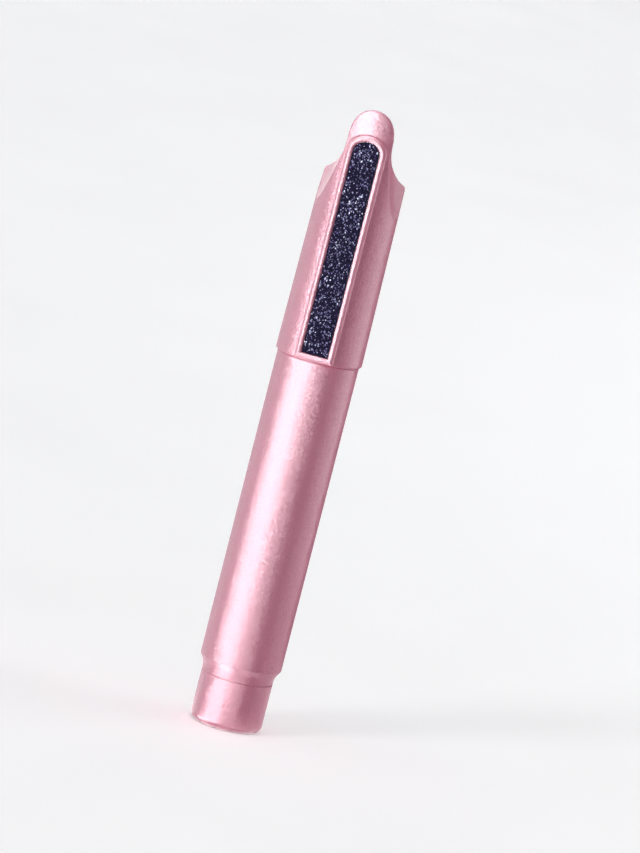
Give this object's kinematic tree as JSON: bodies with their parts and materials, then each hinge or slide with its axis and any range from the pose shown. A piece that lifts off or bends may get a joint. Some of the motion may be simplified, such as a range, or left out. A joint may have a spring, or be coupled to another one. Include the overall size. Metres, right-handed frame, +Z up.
{
  "type": "nail care pen",
  "caption": "Upright felt-tip nail care pen with a pull-off cap that carries an arched nail file and a pusher tongue, and a stepped tail that pulls off to reach spare felt tips.",
  "frame": {"origin": "centre of the tail's flat end face, which the pen stands on", "axes": "+Z up along the pen's axis towards the pusher tip, -Y out of the nail file's face"},
  "size_m": [0.0164, 0.0169, 0.1204],
  "materials": {
    "pearl_pink": "pearl pink lacquer with a fine metallic fleck",
    "natural_plastic": "as moulded, uncoloured",
    "felt": "pressed polyester felt",
    "fibre": "soaked bonded fibre",
    "film": "thin clear film",
    "grit": "dark glittering abrasive grain in resin",
    "strip_steel": "rolled strip",
    "tape": "double-sided adhesive"
  },
  "bodies": {
    "barrel_body": {"barrel": "pearl_pink", "front_section": "natural_plastic", "reservoir_core": "fibre", "reservoir_wrap": "film", "reservoir_stopper": "natural_plastic"},
    "nib_body": {"nib": "felt"},
    "cap_body": {"cap_shell": "pearl_pink", "cap_liner": "natural_plastic", "file_tape": "tape", "file_plate": "strip_steel", "file_grit": "grit"},
    "tail_body": {"tail_cap": "pearl_pink", "nib_rack": "natural_plastic"},
    "spare_nib_1_body": {"spare_nib_1": "felt"},
    "spare_nib_2_body": {"spare_nib_2": "felt"},
    "spare_nib_3_body": {"spare_nib_3": "felt"}
  },
  "joints": [
    {"name": "tail_pull", "type": "slide", "parent": "tail_body", "child": "barrel_body", "axis": [0, 0, 1], "range_m": [0, 0.02]},
    {"name": "cap_pull", "type": "slide", "parent": "barrel_body", "child": "cap_body", "axis": [0, 0, 1], "range_m": [0, 0.03]},
    {"name": "nib_pull", "type": "slide", "parent": "barrel_body", "child": "nib_body", "axis": [0, 0, 1], "range_m": [0, 0.0104]},
    {"name": "spare_nib_1_lift", "type": "slide", "parent": "tail_body", "child": "spare_nib_1_body", "axis": [0, 0, 1], "range_m": [0, 0.0065]},
    {"name": "spare_nib_2_lift", "type": "slide", "parent": "tail_body", "child": "spare_nib_2_body", "axis": [0, 0, 1], "range_m": [0, 0.0065]},
    {"name": "spare_nib_3_lift", "type": "slide", "parent": "tail_body", "child": "spare_nib_3_body", "axis": [0, 0, 1], "range_m": [0, 0.0065]}
  ]
}
